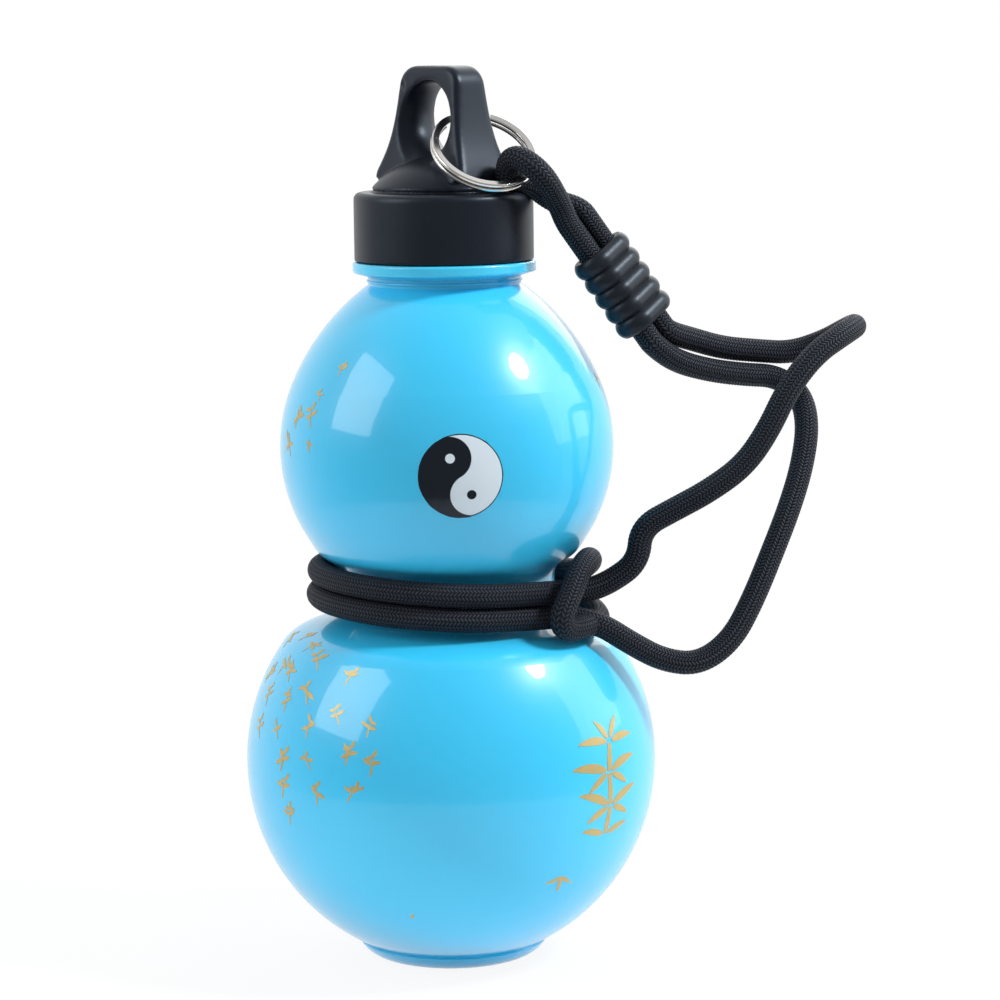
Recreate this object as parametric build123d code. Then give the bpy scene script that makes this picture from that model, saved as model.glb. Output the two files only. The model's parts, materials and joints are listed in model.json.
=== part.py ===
"""Gourd-shaped water bottle with a screw cap, a split ring and a cord that ties round its waist.

Millimetres. The origin is the centre of the base, +Z is up, and the cap's handle runs along X,
so that the hole through the handle opens along Y.
"""
from build123d import *
from math import cos, pi, radians, sin, tan
import os

os.makedirs("parts", exist_ok=True)

OVERRUN = 5.0            # how far a cutting shape runs past the face that it opens
GAP_STEP = 1.0           # spacing of the points that a cord's gap to itself is measured on

# Blown shell: two bulbs, a waist between them and a short neck
WALL = 1.6
LOWER_RADIUS = 60.2
LOWER_SUNK = 1.7         # the lower bulb's circle would reach this far below the base
UPPER_RADIUS = 48.6
WAIST_RADIUS = 31.0
WAIST_BAND = 7.0         # height of the narrowest band
SHOULDER_RISE = 47.3     # from the upper bulb's centre to the neck
NECK_STEP = 1.2          # the neck is this much wider than the finish
NECK_HEIGHT = 2.3
BEAD_HEIGHT = 0.8
BEAD_DEPTH = 0.45

# heights at which the bulbs' circles end, of each bulb's radius
lower_top_share = 0.5814
upper_foot_share = 0.535
upper_top_share = 0.391
# the lower bulb breaks into the waist at a sill: its radius and height above the circle's end,
# and the waist's height above it, of the step from the circle's end in to the waist
sill_shares = (0.417, 0.334, 0.528)
# the waist breaks into the upper bulb at a brow: its radius and height above the waist,
# and the circle's start above it, of the step from the waist out to that start
brow_shares = (0.596, 1.044, 0.547)

# Foot: a ring that the bottle stands on, round a pushed-up middle
FOOT_LEDGE = 0.35        # the foot's rim stands out this far past the bulb
FOOT_ROUND = 7.2         # from that rim in to the flat ring
FOOT_WIDTH = 6.5         # width of the flat ring
FOOT_EDGE_Z = 4.3
FOOT_NOTCH_Z = 4.9
PUNT_HEIGHT = 5.0
FLOOR_THICKNESS = 1.9

# Flange and threaded finish above the neck
FLANGE_STEP = 0.6        # the flange stands out this far past the cap's skirt
FLANGE_CONE = 1.4
FLANGE_HEIGHT = 4.4
FLANGE_ROUND = 0.8
FINISH_RADIUS = 21.0
FINISH_HEIGHT = 15.5
LIP_ROUND = 0.5
THREAD_LEAD = 6.0
THREAD_HEIGHT = 1.5
THREAD_TURNS = 1.5
THREAD_FOOT_WIDTH = 2.4
THREAD_TIP_WIDTH = 1.2
THREAD_START = 3.6       # above the flange
THREAD_SINK = 0.4        # how far a ridge's foot sinks into the wall that carries it
FLANK_CLEARANCE = 0.35
CAP_RIDGE_TURNS = 1.2
THREAD_CLEARANCE = 0.4

# Cap: outer shell, inner threaded sleeve and sealing washer
RUNNING_GAP = 0.3        # between pieces that turn against each other
SKIRT_WALL = 1.55
SKIRT_HEIGHT = 19.7
SKIRT_ROUND = 2.0
SLEEVE_FIT = 0.05
SLEEVE_WALL = 1.5
SLEEVE_DISC = 1.5
WASHER_THICKNESS = 1.5
WASHER_INSIDE = 2.4      # the washer reaches this far inside the lip
WASHER_FIT = 0.05
DOME_STEP = 5.5          # the dome stands in this far from the skirt
DOME_SIDE = 1.5
DOME_HEIGHT = 10.5
DOME_WALL = 2.2
DOME_GROOVE = 0.5

# Handle on the cap: an upright loop that flares into the dome
HANDLE_HEIGHT = 36.0     # above the top of the skirt
HANDLE_LENGTH = 36.4     # at the foot, along X
HANDLE_THICKNESS = 20.0  # at the foot, along Y
HANDLE_CORNER = 6.0
HANDLE_EDGE = 2.0
HANDLE_BAR = 4.8         # thickness of the bar over the middle of the hole
HOLE_SILL = 1.5          # the middle of the hole ends this far above the dome
HOLE_SHARE = 0.455       # width of the hole in the middle, of the foot's length
HOLE_FLARE_SHARE = 0.835     # width of the hole at the front and back, of the foot's length
HOLE_FLARE_UP = 2.6      # the hole opens this far up to the front and back
HOLE_FLARE_DOWN = 6.5    # and this far down
DIMPLE_PLACE = 10.5      # a small oval dimple in the front, this far to the left of the middle
DIMPLE_DROP = 5.5        # and this far below the top
DIMPLE_WIDTH = 2.6
DIMPLE_LENGTH = 4.6
DIMPLE_DEPTH = 1.0
# height, length and thickness of the loop, as shares of the three sizes above
handle_shares = [
    (0.10, 1.07, 1.10),
    (0.19, 1.00, 0.98),
    (0.33, 0.89, 0.85),
    (0.56, 0.77, 0.72),
    (0.78, 0.71, 0.63),
    (1.00, 0.665, 0.54),
]

# Split ring through the handle: two turns of flat wire
RING_RADIUS = 14.3
RING_WIRE_WIDTH = 2.2
RING_WIRE_HEIGHT = 1.15
RING_GAP = 0.45
RING_JOG = 60.0          # degrees that the step from one turn to the other takes
RING_WIRE_ROUND = 0.4
RING_CENTRE = (16.4, 0.8, 11.7)         # its height is above the top of the cap's skirt
RING_AXIS = (0.625, -0.232, 0.746)
RING_START = 200.0

# Cord: one closed loop of braid, tied round the waist and through the ring
CORD_DIAMETER = 7.0
CORD_SEAT = 0.3
ARC_SHARE = 0.45         # how much of its shorter run a corner's arc takes at each end
WRAP_SPACING = 7.6
WRAP_SLACK = 3.6         # between the waist's narrowest band and the wrap
WRAP_LIFT = 0.5          # the wrap lies this far above the middle of the narrowest band
WRAP_TILT = 3.2
WRAP_LEAN = 48.0         # azimuth of the side that hangs lower
WRAP_FRONT = -8.0        # azimuth where the turns leave the circle towards the legs
WRAP_BACK = 84.0         # azimuth where they leave it towards the knot
WRAP_END = 7.0
WRAP_LEAVE = 12.0

# Keeper: ribbed rubber sleeve over both strands of the cord
KEEPER_START = (36.0, 26.6, -16.7)      # its height is above the top of the cap's skirt
KEEPER_AXIS = (0.322, 0.471, -0.821)
KEEPER_WIDE = (-0.133, 0.881, 0.453)
KEEPER_RIBS = 5
KEEPER_PITCH = 5.15
KEEPER_RADIUS = 6.5
KEEPER_GROOVE = 1.2
KEEPER_LEAD = 12.0       # the strands run straight this far before the keeper
KEEPER_TRAIL = 6.2       # and this far after it
STRAND_GAP = 0.3


def on_bulb(radius, centre_z, rise, inset=0):
    """Point of a bulb's circle a given height above its centre, moved in by the wall."""
    share = (radius - inset) / radius
    return ((radius ** 2 - rise ** 2) ** 0.5 * share, centre_z + rise * share)


def along_bulb(radius, rise):
    """Direction that the bulb's outline climbs in at that height."""
    return (-rise / radius, (radius ** 2 - rise ** 2) ** 0.5 / radius)


def turned(outline):
    """Solid that a closed outline of radius and height sweeps round the axis."""
    return revolve(Plane.XZ * make_face(outline), Axis.Z)


def ring_solid(outer, inner, z0, z1):
    """Plain round sleeve between two heights."""
    return Pos(0, 0, z0) * extrude(Circle(outer) - Circle(inner), z1 - z0)


def thread_ridge(radius, tip_radius, start_z, turns):
    """Screw ridge from a wall at one radius to its crest at another."""
    sink = THREAD_SINK if tip_radius > radius else -THREAD_SINK
    path = Helix(THREAD_LEAD, THREAD_LEAD * turns, radius, center=(0, 0, start_z))
    foot = THREAD_FOOT_WIDTH / 2
    tip = THREAD_TIP_WIDTH / 2
    section = make_face(Polyline(
        (-sink, -foot),
        (0, -foot),
        (tip_radius - radius, -tip),
        (tip_radius - radius, tip),
        (0, foot),
        (-sink, foot),
        close=True,
    ))
    start = Plane(origin=path @ 0, x_dir=(1, 0, 0), z_dir=path % 0)
    return sweep(start * section, path, is_frenet=True)


# Sizes that the pieces share
lower_z = LOWER_RADIUS - LOWER_SUNK
lower_top = LOWER_RADIUS * lower_top_share
lower_end_radius = (LOWER_RADIUS ** 2 - lower_top ** 2) ** 0.5
upper_foot = -UPPER_RADIUS * upper_foot_share
upper_top = UPPER_RADIUS * upper_top_share
upper_start_radius = (UPPER_RADIUS ** 2 - upper_foot ** 2) ** 0.5
sill_step = lower_end_radius - WAIST_RADIUS
brow_step = upper_start_radius - WAIST_RADIUS
sill_radius = WAIST_RADIUS + sill_step * sill_shares[0]
sill_z = lower_z + lower_top + sill_step * sill_shares[1]
waist_z = sill_z + sill_step * sill_shares[2]
brow_radius = WAIST_RADIUS + brow_step * brow_shares[0]
brow_z = waist_z + brow_step * brow_shares[1]
upper_z = brow_z + brow_step * brow_shares[2] - upper_foot
neck_radius = FINISH_RADIUS + NECK_STEP
neck_bore = FINISH_RADIUS - WALL
neck_z = upper_z + SHOULDER_RISE
flange_z = neck_z + NECK_HEIGHT
finish_z = flange_z + FLANGE_HEIGHT
lip_z = finish_z + FINISH_HEIGHT
skirt_z = finish_z + RUNNING_GAP
skirt_top = skirt_z + SKIRT_HEIGHT
sleeve_bore = FINISH_RADIUS + THREAD_HEIGHT + THREAD_CLEARANCE
sleeve_radius = sleeve_bore + SLEEVE_WALL
skirt_radius = sleeve_radius + SLEEVE_FIT + SKIRT_WALL
flange_radius = skirt_radius + FLANGE_STEP
dome_radius = skirt_radius - DOME_STEP


def shell_side(inset, end_radius, foot_rise):
    """Outline of the shell from its foot to its neck, outside or moved in by the wall."""
    foot = on_bulb(LOWER_RADIUS, lower_z, foot_rise, inset)
    lower_end = on_bulb(LOWER_RADIUS, lower_z, lower_top, inset)
    sill = (sill_radius - inset, sill_z)
    band_foot = (WAIST_RADIUS - inset, waist_z - WAIST_BAND / 2)
    band_top = (WAIST_RADIUS - inset, waist_z + WAIST_BAND / 2)
    brow = (brow_radius - inset, brow_z)
    upper_start = on_bulb(UPPER_RADIUS, upper_z, upper_foot, inset)
    upper_end = on_bulb(UPPER_RADIUS, upper_z, upper_top, inset)
    below = Spline(
        lower_end,
        sill,
        band_foot,
        tangents=[along_bulb(LOWER_RADIUS, lower_top), (0, 1)],
    )
    above = Spline(
        band_top,
        brow,
        upper_start,
        tangents=[(0, 1), along_bulb(UPPER_RADIUS, upper_foot)],
    )
    return [
        ThreePointArc(foot, (LOWER_RADIUS - inset, lower_z), lower_end),
        below,
        Line(band_foot, band_top),
        above,
        ThreePointArc(upper_start, (UPPER_RADIUS - inset, upper_z), upper_end),
        TangentArc(upper_end, (end_radius, neck_z), tangent=along_bulb(UPPER_RADIUS, upper_top)),
    ]


# Bottle shell
notch_rise = FOOT_NOTCH_Z - lower_z
notch = on_bulb(LOWER_RADIUS, lower_z, notch_rise)
foot_edge = notch[0] + FOOT_LEDGE
foot_outer = foot_edge - FOOT_ROUND
foot_inner = foot_outer - FOOT_WIDTH
punt_edge = (foot_inner, 0)
outside = shell_side(0, neck_radius, notch_rise) + [
    Line((0, neck_z), (0, PUNT_HEIGHT)),
    Spline((0, PUNT_HEIGHT), punt_edge, tangents=[(1, 0), (1, -1)]),
    Line(punt_edge, (foot_outer, 0)),
    TangentArc((foot_outer, 0), (foot_edge, FOOT_EDGE_Z), tangent=(1, 0)),
    Line((foot_edge, FOOT_EDGE_Z), notch),
    Line((neck_radius, neck_z), (0, neck_z)),
]
shell_outside = turned(outside)

bead_z = neck_z + (NECK_HEIGHT - BEAD_HEIGHT) / 2
neck_wall = turned([
    Line((0, neck_z), (neck_radius, neck_z)),
    Line((neck_radius, neck_z), (neck_radius, bead_z)),
    ThreePointArc(
        (neck_radius, bead_z),
        (neck_radius + BEAD_DEPTH, bead_z + BEAD_HEIGHT / 2),
        (neck_radius, bead_z + BEAD_HEIGHT),
    ),
    Line((neck_radius, bead_z + BEAD_HEIGHT), (neck_radius, flange_z)),
    Line((neck_radius, flange_z), (0, flange_z)),
    Line((0, flange_z), (0, neck_z)),
])
flange_outline = make_face(Polyline(
    (0, flange_z),
    (neck_radius, flange_z),
    (flange_radius, flange_z + FLANGE_CONE),
    (flange_radius, finish_z),
    (0, finish_z),
    close=True,
))
flange_outline = fillet(flange_outline.vertices().group_by(Axis.X)[-1], FLANGE_ROUND)
flange = revolve(Plane.XZ * flange_outline, Axis.Z)
finish = Pos(0, 0, finish_z) * extrude(Circle(FINISH_RADIUS), FINISH_HEIGHT)
ridge_z = finish_z + THREAD_START
bottle_ridge = thread_ridge(FINISH_RADIUS, FINISH_RADIUS + THREAD_HEIGHT, ridge_z, THREAD_TURNS)

floor_middle = (0, PUNT_HEIGHT + FLOOR_THICKNESS)
floor_low = ((foot_inner + foot_outer) / 2, FLOOR_THICKNESS)
floor_rise = FOOT_NOTCH_Z + FLOOR_THICKNESS - lower_z
floor_edge = on_bulb(LOWER_RADIUS, lower_z, floor_rise, WALL)
cavity = turned(shell_side(WALL, neck_bore, floor_rise) + [
    Spline(
        floor_middle,
        floor_low,
        floor_edge,
        tangents=[(1, 0), (1, 0), along_bulb(LOWER_RADIUS, floor_rise)],
    ),
    Line(floor_middle, (0, neck_z)),
    Line((0, neck_z), (neck_bore, neck_z)),
])
bore = Pos(0, 0, neck_z) * extrude(Circle(neck_bore), lip_z + OVERRUN - neck_z)
bottle_shell = shell_outside + neck_wall + flange + finish
lip_edge = bottle_shell.edges().filter_by(GeomType.CIRCLE).group_by(Axis.Z)[-1]
bottle_shell = fillet(lip_edge, LIP_ROUND) + bottle_ridge - cavity - bore

# Sleeve inside the cap, with the ridge that runs under the bottle's ridge
washer_z = lip_z + RUNNING_GAP
disc_z = washer_z + WASHER_THICKNESS
disc_top = disc_z + SLEEVE_DISC
ridge_step = (THREAD_FOOT_WIDTH + THREAD_TIP_WIDTH) / 2 + FLANK_CLEARANCE
cap_ridge_tip = FINISH_RADIUS + THREAD_CLEARANCE
cap_ridge_turn = ridge_step / THREAD_LEAD
cap_ridge = thread_ridge(sleeve_bore, cap_ridge_tip, ridge_z, CAP_RIDGE_TURNS)
cap_ridge = Rot(0, 0, 360 * cap_ridge_turn) * cap_ridge
cap_insert = ring_solid(sleeve_radius, sleeve_bore, skirt_z + RUNNING_GAP, disc_z)
cap_insert += Pos(0, 0, disc_z) * extrude(Circle(sleeve_radius), SLEEVE_DISC)
cap_insert += cap_ridge

# Sealing washer between the lip and the sleeve's disc
cap_gasket = ring_solid(sleeve_bore - WASHER_FIT, neck_bore - WASHER_INSIDE, washer_z, disc_z)

# Cap shell: skirt and dome
dome_side_z = skirt_top + DOME_SIDE
dome_top = skirt_top + DOME_HEIGHT
hollow_radius = dome_radius - DOME_WALL
hollow_side_z = dome_side_z - DOME_WALL / 2
skirt_outline = make_face(Polyline(
    (0, skirt_z),
    (skirt_radius, skirt_z),
    (skirt_radius, skirt_top),
    (0, skirt_top),
    close=True,
))
skirt_corner = skirt_outline.vertices().group_by(Axis.X)[-1].sort_by(Axis.Y)[-1]
skirt_outline = fillet(skirt_corner, SKIRT_ROUND)
skirt = revolve(Plane.XZ * skirt_outline, Axis.Z)
groove_radius = dome_radius - DOME_GROOVE
dome = turned([
    Line((0, skirt_top), (groove_radius, skirt_top)),
    Line((groove_radius, skirt_top), (groove_radius, skirt_top + DOME_GROOVE)),
    Line((groove_radius, skirt_top + DOME_GROOVE), (dome_radius, skirt_top + 2 * DOME_GROOVE)),
    Line((dome_radius, skirt_top + 2 * DOME_GROOVE), (dome_radius, dome_side_z)),
    TangentArc((0, dome_top), (dome_radius, dome_side_z), tangent=(1, 0)),
    Line((0, dome_top), (0, skirt_top)),
])
dome_hollow = turned([
    Line((0, disc_top), (hollow_radius, disc_top)),
    Line((hollow_radius, disc_top), (hollow_radius, hollow_side_z)),
    TangentArc((0, dome_top - DOME_WALL), (hollow_radius, hollow_side_z), tangent=(1, 0)),
    Line((0, dome_top - DOME_WALL), (0, disc_top)),
])
skirt_hollow = Pos(0, 0, skirt_z - OVERRUN) * extrude(
    Circle(skirt_radius - SKIRT_WALL), disc_top - skirt_z + OVERRUN
)


def handle_outline(width_column, full_width):
    """Upright outline of the handle, from its table, seen along one horizontal axis."""
    right = [
        (row[width_column] * full_width / 2, skirt_top + row[0] * HANDLE_HEIGHT)
        for row in handle_shares
    ]
    left = [(-x, z) for x, z in right]
    edges = [
        Spline(*right),
        Line(right[-1], left[-1]),
        Spline(*left),
        Line(left[0], right[0]),
    ]
    return make_face(edges)


# Handle: the outlines of its front and its side, cut together, with a hole through it
front = handle_outline(1, HANDLE_LENGTH)
front = fillet(front.vertices().group_by(Axis.Y)[-1], HANDLE_CORNER)
side = handle_outline(2, HANDLE_THICKNESS)
front_block = extrude(Plane.XZ * front, HANDLE_THICKNESS, both=True)
side_block = extrude(Plane.YZ * side, HANDLE_LENGTH, both=True)
foot_limit = Pos(0, 0, skirt_top) * extrude(Circle(dome_radius), HANDLE_HEIGHT + OVERRUN)
handle = front_block & side_block
handle_top = skirt_top + HANDLE_HEIGHT
hole_top = handle_top - HANDLE_BAR
hole_foot = dome_top + HOLE_SILL
flare_reach = HANDLE_THICKNESS / 2 * handle_shares[0][2]


def hole_outline(y, width_share, low, high):
    """Oval outline of the handle's hole at one depth."""
    place = Plane(origin=(0, y, (low + high) / 2), x_dir=(1, 0, 0), z_dir=(0, 1, 0))
    return place * Ellipse(HANDLE_LENGTH * width_share / 2, (high - low) / 2)


hole_mouths = [
    hole_outline(y, HOLE_FLARE_SHARE, hole_foot - HOLE_FLARE_DOWN, hole_top + HOLE_FLARE_UP)
    for y in (-flare_reach, flare_reach)
]
hole_middle = hole_outline(0, HOLE_SHARE, hole_foot, hole_top)
hole = loft([hole_mouths[0], hole_middle, hole_mouths[1]])
handle = handle & foot_limit
handle_foot = handle.bounding_box().min.Z
corner_edges = [
    edge for edge in handle.edges()
    if edge.bounding_box().min.Z > handle_foot - LIP_ROUND
    and edge.bounding_box().max.Z > dome_top
    and abs(edge.center().Y) > HANDLE_CORNER / 2
]
handle = fillet(corner_edges, HANDLE_EDGE) - hole
dimple = scale(Sphere(DIMPLE_WIDTH / 2), by=(1, 1, DIMPLE_LENGTH / DIMPLE_WIDTH))
dimple_z = handle_top - DIMPLE_DROP
dimple_slice = handle & Pos(-DIMPLE_PLACE, 0, dimple_z) * Box(WALL, HANDLE_THICKNESS, WALL)
dimple_y = dimple_slice.bounding_box().min.Y
handle -= Pos(-DIMPLE_PLACE, dimple_y - DIMPLE_WIDTH / 2 + DIMPLE_DEPTH, dimple_z) * dimple
cap_shell = skirt + dome + handle - dome_hollow - skirt_hollow

# Split ring
ring_plane = Plane(origin=Vector(*RING_CENTRE) + Vector(0, 0, skirt_top), z_dir=RING_AXIS)
level = (RING_WIRE_HEIGHT + RING_GAP) / 2


def on_ring(angle, height):
    """Point of the ring's centre line in its own plane."""
    return Vector(RING_RADIUS * cos(radians(angle)), RING_RADIUS * sin(radians(angle)), height)


def ring_direction(angle):
    """Direction of the wire at an angle round the ring."""
    return Vector(-sin(radians(angle)), cos(radians(angle)), 0)


flat = 360.0 - RING_JOG
first_end = RING_START + flat
second_start = first_end + RING_JOG
second_end = second_start + flat
ring_path = Wire([
    ThreePointArc(on_ring(RING_START, -level), on_ring(RING_START + flat / 4, -level),
                  on_ring(RING_START + flat / 2, -level)),
    ThreePointArc(on_ring(RING_START + flat / 2, -level), on_ring(RING_START + flat * 3 / 4, -level),
                  on_ring(first_end, -level)),
    Spline(on_ring(first_end, -level), on_ring(first_end + RING_JOG / 2, 0), on_ring(second_start, level),
           tangents=[ring_direction(first_end), ring_direction(second_start)]),
    ThreePointArc(on_ring(second_start, level), on_ring(second_start + flat / 4, level),
                  on_ring(second_start + flat / 2, level)),
    ThreePointArc(on_ring(second_start + flat / 2, level), on_ring(second_start + flat * 3 / 4, level),
                  on_ring(second_end, level)),
])
wire_start = Plane(origin=on_ring(RING_START, -level), x_dir=on_ring(RING_START, 0),
                   z_dir=ring_direction(RING_START))
wire_section = RectangleRounded(RING_WIRE_WIDTH, RING_WIRE_HEIGHT, RING_WIRE_ROUND)
split_ring = ring_plane.location * sweep(wire_start * wire_section, ring_path)


# Cords
def cord_radii(points):
    """An arc at each corner that takes nearly half of its shorter run."""
    radii = []
    for before, here, after in zip(points, points[1:], points[2:]):
        run_in = Vector(here) - Vector(before)
        run_out = Vector(after) - Vector(here)
        turn = radians(run_in.get_angle(run_out))
        radii.append(ARC_SHARE * min(run_in.length, run_out.length) / tan(turn / 2))
    return radii


def cord_path(points):
    """Straight runs joined by tangent arcs."""
    return FilletPolyline(*points, radius=cord_radii(points))


def cord_tube(name, path):
    """Round cord along a path, with its volume compared with section times length."""
    section = Plane(origin=path @ 0, z_dir=path % 0) * Circle(CORD_DIAMETER / 2)
    tube = sweep(section, path=path)
    expected = pi * CORD_DIAMETER ** 2 / 4 * path.length
    print(name, "length", round(path.length, 1), "volume ratio", round(tube.volume / expected, 4))
    return tube


def raised(base, points):
    """The same points, with their heights counted from a base height."""
    return [Vector(*point) + Vector(0, 0, base) for point in points]


keeper_axis = Vector(*KEEPER_AXIS).normalized()
keeper_wide = Vector(*KEEPER_WIDE).normalized()
keeper_length = KEEPER_RIBS * KEEPER_PITCH
strand_offset = (CORD_DIAMETER + STRAND_GAP) / 2
keeper_start = raised(skirt_top, [KEEPER_START])[0]


def strand(side, past_middle):
    """Point of one of the two strands, a distance past the keeper's middle."""
    middle = keeper_start + keeper_axis * (keeper_length / 2 + past_middle)
    return middle + keeper_wide * (side * strand_offset)


before_keeper = -keeper_length / 2 - KEEPER_LEAD
after_keeper = keeper_length / 2 + KEEPER_TRAIL

# Doubled strand from before the keeper, round the split ring and back; heights above the skirt's top
ring_loop_points = [
    (32.5, 15.0, -3.0),
    (35.0, 5.5, 6.5),
    (26.0, 3.0, 11.5),
    (20.5, 5.0, 3.5),
    (22.5, 12.5, 3.0),
    (24.0, 20.5, -3.0),
]
# Upper strand from past the keeper to the waist; heights above the waist
leg_upper_points = [
    (45.5, 55.0, 72.0),
    (47.0, 67.0, 68.5),
    (50.5, 78.5, 67.5),
    (55.0, 88.0, 68.5),
    (63.0, 94.0, 71.5),
    (73.0, 93.0, 75.0),
    (82.5, 86.0, 75.0),
    (87.5, 74.5, 72.0),
    (86.0, 64.0, 66.5),
    (83.0, 56.0, 58.0),
    (79.5, 51.0, 47.5),
    (75.0, 46.0, 38.0),
    (68.5, 38.5, 31.0),
    (61.5, 32.5, 26.0),
    (56.5, 28.0, 19.0),
    (52.5, 24.5, 10.0),
    (47.0, 20.0, 4.5),
    (42.5, 14.5, 2.0),
]
# Lower strand
leg_lower_points = [
    (47.0, 47.5, 66.0),
    (48.5, 60.0, 62.5),
    (51.0, 72.0, 60.5),
    (54.0, 82.5, 59.5),
    (59.5, 87.0, 54.5),
    (65.0, 84.5, 46.0),
    (68.0, 78.5, 34.0),
    (69.5, 71.0, 22.0),
    (69.5, 64.0, 10.5),
    (68.5, 57.0, -2.5),
    (66.5, 50.0, -14.0),
    (61.5, 41.5, -20.5),
    (55.5, 33.0, -19.0),
    (51.0, 24.5, -13.5),
    (46.5, 16.0, -7.0),
]
# Bight of the waist loop that lies over both strands; heights above the waist
bight_points = [
    (31.5, 27.5, 8.0),
    (42.0, 16.5, 11.5),
    (46.5, 8.0, 9.0),
    (48.0, 2.5, 2.0),
    (47.5, -0.5, -3.5),
    (46.5, 2.5, -7.5),
    (46.0, 11.0, -7.5),
    (42.0, 22.0, -6.5),
]

wrap_radius = WAIST_RADIUS + WRAP_SLACK + CORD_DIAMETER / 2
lean = radians(WRAP_LEAN)
tilt = radians(WRAP_TILT)
wrap_z = waist_z + WRAP_LIFT
wrap_plane = Plane(
    origin=(0, 0, wrap_z),
    x_dir=(1, 0, 0),
    z_dir=(sin(tilt) * cos(lean), sin(tilt) * sin(lean), cos(tilt)),
)


def on_wrap(azimuth, height, ahead=0):
    """Point of the tilted circle round the waist, moved ahead along the tangent."""
    angle = radians(azimuth)
    x = wrap_radius * cos(angle) - ahead * sin(angle)
    y = wrap_radius * sin(angle) + ahead * cos(angle)
    return wrap_plane.from_local_coords((x, y, height))


def wrap_turn(height):
    """Three arcs from the front of the waist round to the knot side."""
    span = WRAP_BACK - 360 - WRAP_FRONT
    steps = [WRAP_FRONT + span * share / 6 for share in range(7)]
    points = [on_wrap(azimuth, height) for azimuth in steps]
    return [ThreePointArc(*points[i:i + 3]) for i in (0, 2, 4)]


upper_level = WRAP_SPACING / 2
lower_level = -WRAP_SPACING / 2
upper_end = on_wrap(WRAP_FRONT, upper_level, WRAP_END)
lower_end = on_wrap(WRAP_FRONT, lower_level, WRAP_END)
bight_route = [
    on_wrap(WRAP_BACK, upper_level),
    on_wrap(WRAP_BACK, upper_level, -WRAP_LEAVE),
    *raised(waist_z, bight_points),
    on_wrap(WRAP_BACK, lower_level, -WRAP_LEAVE),
    on_wrap(WRAP_BACK, lower_level),
]
wrap_path = Wire([
    Line(upper_end, on_wrap(WRAP_FRONT, upper_level)),
    *wrap_turn(upper_level),
    *cord_path(bight_route).edges(),
    *wrap_turn(lower_level),
    Line(on_wrap(WRAP_FRONT, lower_level), lower_end),
])
cord_waist_wrap = cord_tube("waist wrap", wrap_path)


def leg_route(side, points, end, height):
    """A leg's points from the keeper's middle, ending straight into the turn that it comes out of."""
    return [
        strand(side, 0),
        strand(side, after_keeper),
        *raised(waist_z, points),
        on_wrap(WRAP_FRONT, height, 2 * WRAP_END),
        end,
    ]


ring_loop_route = [
    strand(-1, 0),
    strand(-1, before_keeper),
    *raised(skirt_top, ring_loop_points),
    strand(1, before_keeper),
    strand(1, 0),
]
leg_upper_route = leg_route(1, leg_upper_points, upper_end, upper_level)
leg_lower_route = leg_route(-1, leg_lower_points, lower_end, lower_level)
cord_ring_loop = cord_tube("ring loop", cord_path(ring_loop_route))
cord_leg_upper = cord_tube("upper leg", cord_path(leg_upper_route))
cord_leg_lower = cord_tube("lower leg", cord_path(leg_lower_route))
for name, route in [
    ("ring loop", ring_loop_route),
    ("upper leg", leg_upper_route),
    ("lower leg", leg_lower_route),
    ("bight", bight_route),
]:
    print(name, "radii", [round(radius, 1) for radius in cord_radii(route)])

# Keeper
keeper_bore = CORD_DIAMETER / 2 + CORD_SEAT
rib_outline = [Line((0, 0), (KEEPER_RADIUS - KEEPER_GROOVE, 0))]
for rib in range(KEEPER_RIBS):
    low = (KEEPER_RADIUS - KEEPER_GROOVE, rib * KEEPER_PITCH)
    crest = (KEEPER_RADIUS, (rib + 0.5) * KEEPER_PITCH)
    high = (KEEPER_RADIUS - KEEPER_GROOVE, (rib + 1) * KEEPER_PITCH)
    rib_outline.append(ThreePointArc(low, crest, high))
rib_outline.append(Line((KEEPER_RADIUS - KEEPER_GROOVE, keeper_length), (0, keeper_length)))
rib_outline.append(Line((0, keeper_length), (0, 0)))
rib_half = make_face(rib_outline)
rib_whole = Plane.XZ * (rib_half + mirror(rib_half, Plane.YZ))
keeper_end = revolve(Plane.XZ * rib_half, Axis.Z)
keeper_middle = extrude(rib_whole, strand_offset, both=True)
keeper_body = keeper_middle
keeper_body += Pos(0, strand_offset, 0) * keeper_end
keeper_body += Pos(0, -strand_offset, 0) * keeper_end
keeper_slot = Rot(0, 0, 90) * SlotCenterToCenter(2 * strand_offset, 2 * keeper_bore)
keeper_body -= Pos(0, 0, -OVERRUN) * extrude(keeper_slot, keeper_length + 2 * OVERRUN)
keeper_place = Plane(
    origin=keeper_start,
    x_dir=keeper_wide.cross(keeper_axis),
    z_dir=keeper_axis,
)
cord_keeper = keeper_place.location * keeper_body



def least_gap(path, thickness, apart):
    """Least space between two stretches of a wire or cord that are some way apart along it."""
    count = round(path.length / GAP_STEP)
    points = [path.position_at(step / count) for step in range(count + 1)]
    skip = round(apart / GAP_STEP)
    nearest = min(
        (here - there).length
        for place, here in enumerate(points)
        for there in points[place + skip:]
    )
    return round(nearest - thickness, 2)


print("waist wrap least gap to itself", least_gap(wrap_path, CORD_DIAMETER, 4 * CORD_DIAMETER))
print("split ring least gap to itself", least_gap(ring_path, RING_WIRE_HEIGHT, RING_RADIUS))

nodes = {
    "bottle_shell": bottle_shell,
    "cap_shell": cap_shell,
    "cap_insert": cap_insert,
    "cap_gasket": cap_gasket,
    "split_ring": split_ring,
    "cord_keeper": cord_keeper,
    "cord_ring_loop": cord_ring_loop,
    "cord_leg_upper": cord_leg_upper,
    "cord_leg_lower": cord_leg_lower,
    "cord_waist_wrap": cord_waist_wrap,
}
for name, solid in nodes.items():
    print(name, "solids", len(solid.solids()), "volume", round(solid.volume), "valid", solid.is_valid)
    export_step(solid, f"parts/{name}.step")
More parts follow.
